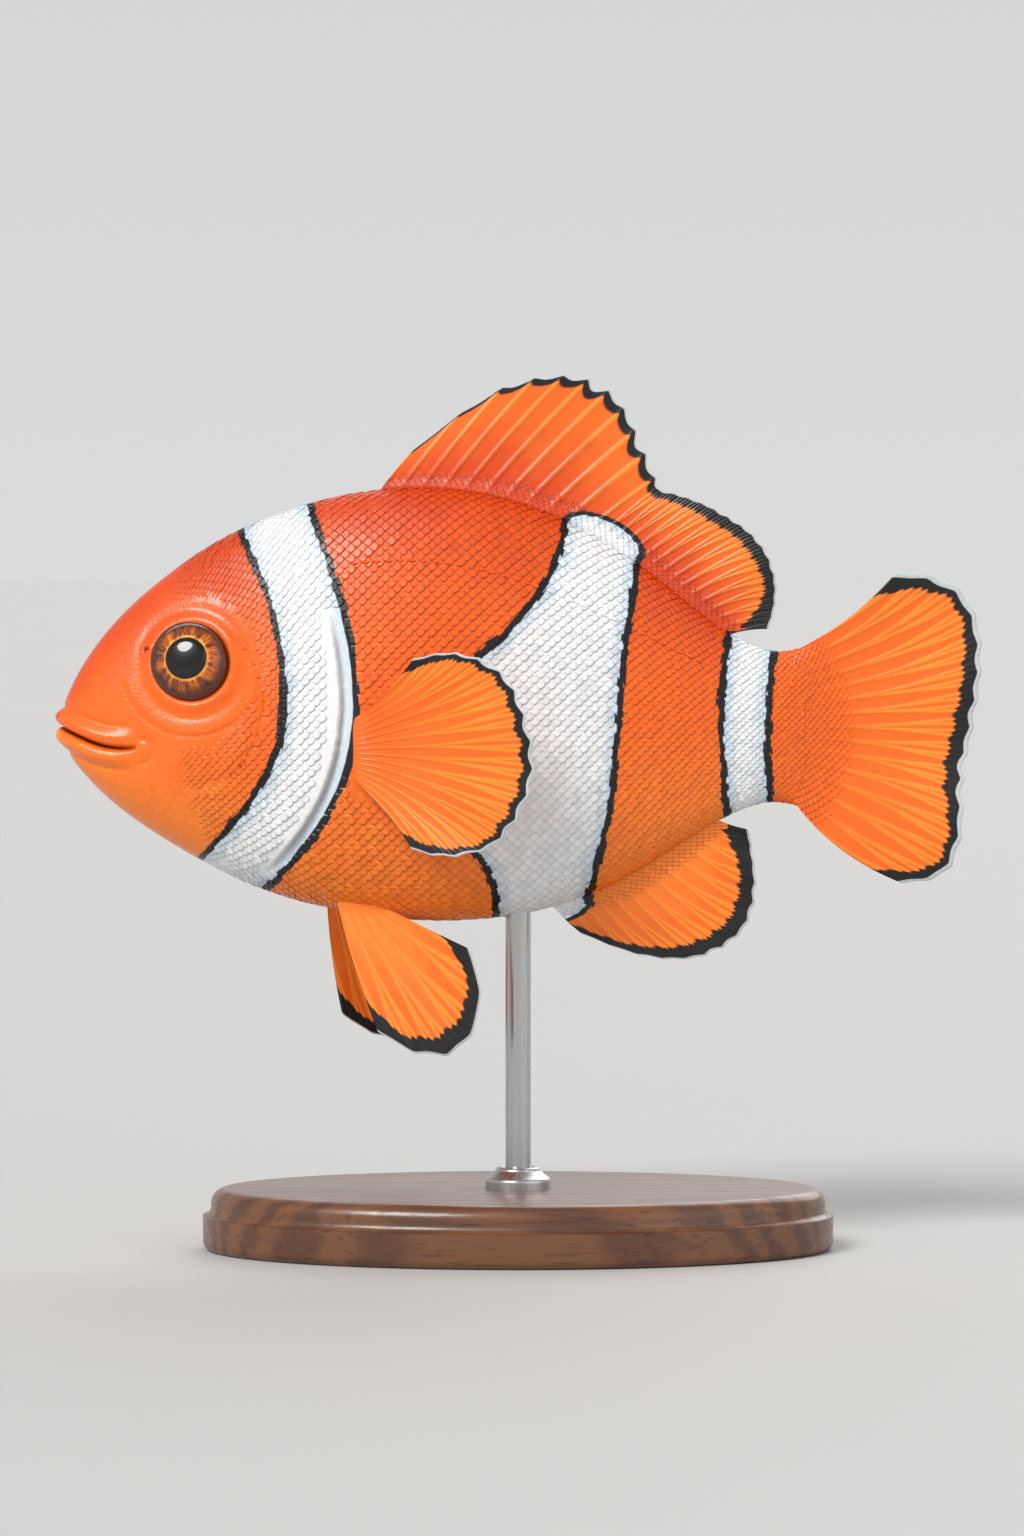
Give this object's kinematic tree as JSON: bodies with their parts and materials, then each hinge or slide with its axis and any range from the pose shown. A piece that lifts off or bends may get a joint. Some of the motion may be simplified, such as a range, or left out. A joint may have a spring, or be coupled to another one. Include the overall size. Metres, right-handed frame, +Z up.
{
  "type": "clownfish display model",
  "caption": "Life-size clownfish, orange with white bands edged in black, fins spread, facing left on a rod above an oval wooden base.",
  "frame": {"origin": "middle of the stand's underside, at table level", "axes": "+Z up; the fish faces -X, with its left side towards -Y and its right side towards +Y"},
  "size_m": [0.0906, 0.0408, 0.0856],
  "materials": {
    "skin": "moist scaly skin, orange with white bands edged in black",
    "fin": "thin ribbed fin, orange with a black margin",
    "eye": "wet and clear over an orange-brown iris",
    "stand_wood": "satin varnished walnut",
    "stand_steel": "brushed"
  },
  "bodies": {
    "root": {"head": "skin", "lower_jaw": "skin", "gill_cover_left": "skin", "gill_cover_right": "skin", "trunk": "skin", "tail_stalk": "skin", "eye_left": "eye", "eye_right": "eye", "dorsal_fin_spines": "fin", "dorsal_fin_soft": "fin", "anal_fin": "fin", "tail_fin": "fin", "pectoral_fin_left": "fin", "pectoral_fin_right": "fin", "pelvic_fin_left": "fin", "pelvic_fin_right": "fin", "stand_base": "stand_wood", "stand_collar": "stand_steel", "stand_rod": "stand_steel"}
  },
  "joints": []
}
